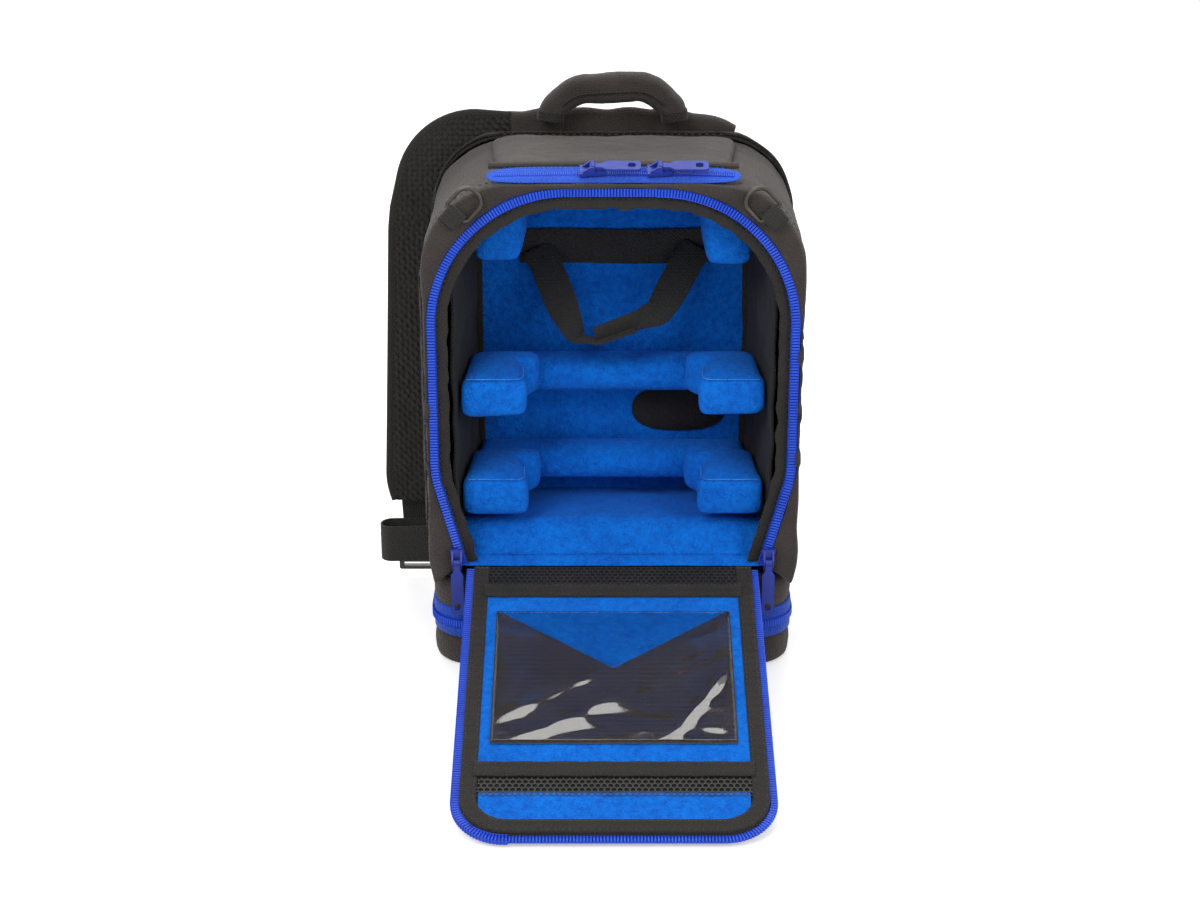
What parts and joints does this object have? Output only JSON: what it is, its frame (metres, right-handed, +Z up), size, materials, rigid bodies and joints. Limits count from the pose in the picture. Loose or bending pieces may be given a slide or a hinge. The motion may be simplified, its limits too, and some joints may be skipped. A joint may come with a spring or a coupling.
{
  "type": "padded equipment backpack",
  "caption": "Padded equipment backpack with a zip-round front flap laid open, fleece-lined shelves, a top pocket, a base compartment, carry handle and shoulder straps.",
  "frame": {"origin": "middle of the flat face that the bag stands on", "axes": "+X across the bag to the viewer's right, +Y from the front opening to the wearer's back, +Z up"},
  "size_m": [0.36, 0.472, 0.466],
  "materials": {
    "outer_fabric": "charcoal woven fabric over foam",
    "blue_fleece": "brushed fleece",
    "blue_zip": "moulded coil on woven tape",
    "blue_puller": "painted die casting",
    "black_webbing": "woven webbing and binding tape",
    "black_mesh": "knitted spacer mesh",
    "clear_vinyl": "clear flexible sheet",
    "gunmetal": "dark plated wire",
    "black_plastic": "moulded nylon"
  },
  "bodies": {
    "bag": {"anchor_band": "black_webbing", "back_lining": "blue_fleece", "back_panel": "outer_fabric", "base_tray": "outer_fabric", "base_upper_wall": "outer_fabric", "base_zip": "blue_zip", "corner_blocks": "blue_fleece", "corner_gussets": "outer_fabric", "floor_pad": "blue_fleece", "front_surround": "outer_fabric", "left_lower_webbing": "black_webbing", "left_side_mesh": "black_mesh", "lower_shelf_arms": "blue_fleece", "lower_shelf_bar": "blue_fleece", "main_floor": "outer_fabric", "mesh_vent": "black_mesh", "opening_binding": "black_webbing", "opening_zip_chain": "blue_zip", "pocket_zip": "blue_zip", "right_lower_webbing": "black_webbing", "right_side_tab": "black_webbing", "ring_tabs": "black_webbing", "side_linings": "blue_fleece", "side_panels": "outer_fabric", "strap_yoke": "outer_fabric", "top_panel": "outer_fabric", "top_pocket_cover": "outer_fabric", "upper_shelf_arms": "blue_fleece", "upper_shelf_bar": "blue_fleece"},
    "flap": {"flap_panel": "outer_fabric", "flap_zip_chain": "blue_zip", "flap_binding": "black_webbing", "flap_mesh_strips": "black_mesh", "flap_bars": "black_webbing", "flap_fleece": "blue_fleece", "flap_window": "clear_vinyl", "window_pocket": "black_webbing"},
    "left_slider": {"left_zip_slider": "blue_puller"},
    "left_puller": {"left_zip_puller": "blue_puller"},
    "right_slider": {"right_zip_slider": "blue_puller"},
    "right_puller": {"right_zip_puller": "blue_puller"},
    "base_slider": {"base_zip_slider": "blue_puller"},
    "base_puller": {"base_zip_puller": "blue_puller"},
    "pocket_slider_one": {"pocket_left_slider": "blue_puller"},
    "pocket_puller_one": {"pocket_left_puller": "blue_puller"},
    "pocket_slider_two": {"pocket_right_slider": "blue_puller"},
    "pocket_puller_two": {"pocket_right_puller": "blue_puller"},
    "left_ring": {"left_ring": "gunmetal"},
    "right_ring": {"right_ring": "gunmetal"},
    "handle": {"carry_handle": "outer_fabric"},
    "left_strap": {"left_strap_air_mesh": "black_mesh", "left_strap_pad": "outer_fabric", "left_strap_tail": "black_webbing", "left_ladder_buckle": "black_plastic"},
    "right_strap": {"right_strap_air_mesh": "black_mesh", "right_strap_pad": "outer_fabric", "right_strap_tail": "black_webbing", "right_ladder_buckle": "black_plastic"},
    "retention_loop": {"retention_left_strap": "black_webbing", "retention_right_strap": "black_webbing"}
  },
  "joints": [
    {"name": "flap_hinge", "type": "hinge", "parent": "bag", "child": "flap", "pos_m": [0, -0.0783, 0.093], "axis": [-1, 0, 0], "range_deg": [0, 105.85]},
    {"name": "left_zip_slide", "type": "slide", "parent": "bag", "child": "left_slider", "axis": [-0.2631, 0, 0.9648], "range_m": [0, 0.07]},
    {"name": "left_puller_hinge", "type": "hinge", "parent": "left_slider", "child": "left_puller", "pos_m": [-0.12674, -0.0847, 0.097], "axis": [-1, 0, 0], "range_deg": [0, 150]},
    {"name": "right_zip_slide", "type": "slide", "parent": "bag", "child": "right_slider", "axis": [0.2631, 0, 0.9648], "range_m": [0, 0.07]},
    {"name": "right_puller_hinge", "type": "hinge", "parent": "right_slider", "child": "right_puller", "pos_m": [0.12674, -0.0847, 0.097], "axis": [-1, 0, 0], "range_deg": [0, 150]},
    {"name": "base_zip_slide", "type": "slide", "parent": "bag", "child": "base_slider", "axis": [1, 0, 0], "range_m": [-0.06, 0.06]},
    {"name": "base_puller_hinge", "type": "hinge", "parent": "base_slider", "child": "base_puller", "pos_m": [0, -0.0877, 0.039], "axis": [0, 0, -1], "range_deg": [0, 160]},
    {"name": "pocket_zip_slide_one", "type": "slide", "parent": "bag", "child": "pocket_slider_one", "axis": [-1, 0, 0], "range_m": [0, 0.05]},
    {"name": "pocket_puller_hinge_one", "type": "hinge", "parent": "pocket_slider_one", "child": "pocket_puller_one", "pos_m": [-0.016, -0.07, 0.42259], "axis": [0, -0.8849, -0.4657], "range_deg": [0, 150]},
    {"name": "pocket_zip_slide_two", "type": "slide", "parent": "bag", "child": "pocket_slider_two", "axis": [1, 0, 0], "range_m": [0, 0.032]},
    {"name": "pocket_puller_hinge_two", "type": "hinge", "parent": "pocket_slider_two", "child": "pocket_puller_two", "pos_m": [0.036, -0.07, 0.42259], "axis": [0, -0.8849, -0.4657], "range_deg": [0, 150]},
    {"name": "left_ring_swing", "type": "hinge", "parent": "bag", "child": "left_ring", "pos_m": [-0.121, -0.08165, 0.388], "axis": [0.7314, 0, -0.682], "range_deg": [0, 120]},
    {"name": "right_ring_swing", "type": "hinge", "parent": "bag", "child": "right_ring", "pos_m": [0.121, -0.08165, 0.388], "axis": [0.7314, 0, 0.682], "range_deg": [0, 120]},
    {"name": "handle_fold", "type": "hinge", "parent": "bag", "child": "handle", "pos_m": [0, 0.0674, 0.432], "axis": [1, 0, 0], "range_deg": [0, 85]},
    {"name": "left_strap_swing", "type": "hinge", "parent": "bag", "child": "left_strap", "pos_m": [0, 0.0845, 0.432], "axis": [1, 0, 0], "range_deg": [0, 15]},
    {"name": "right_strap_swing", "type": "hinge", "parent": "bag", "child": "right_strap", "pos_m": [0, 0.0902, 0.3957], "axis": [1, 0, 0], "range_deg": [0, 15]},
    {"name": "retention_loop_lift", "type": "hinge", "parent": "bag", "child": "retention_loop", "pos_m": [0, 0.055, 0.324], "axis": [-1, 0, 0], "range_deg": [0, 45]}
  ]
}
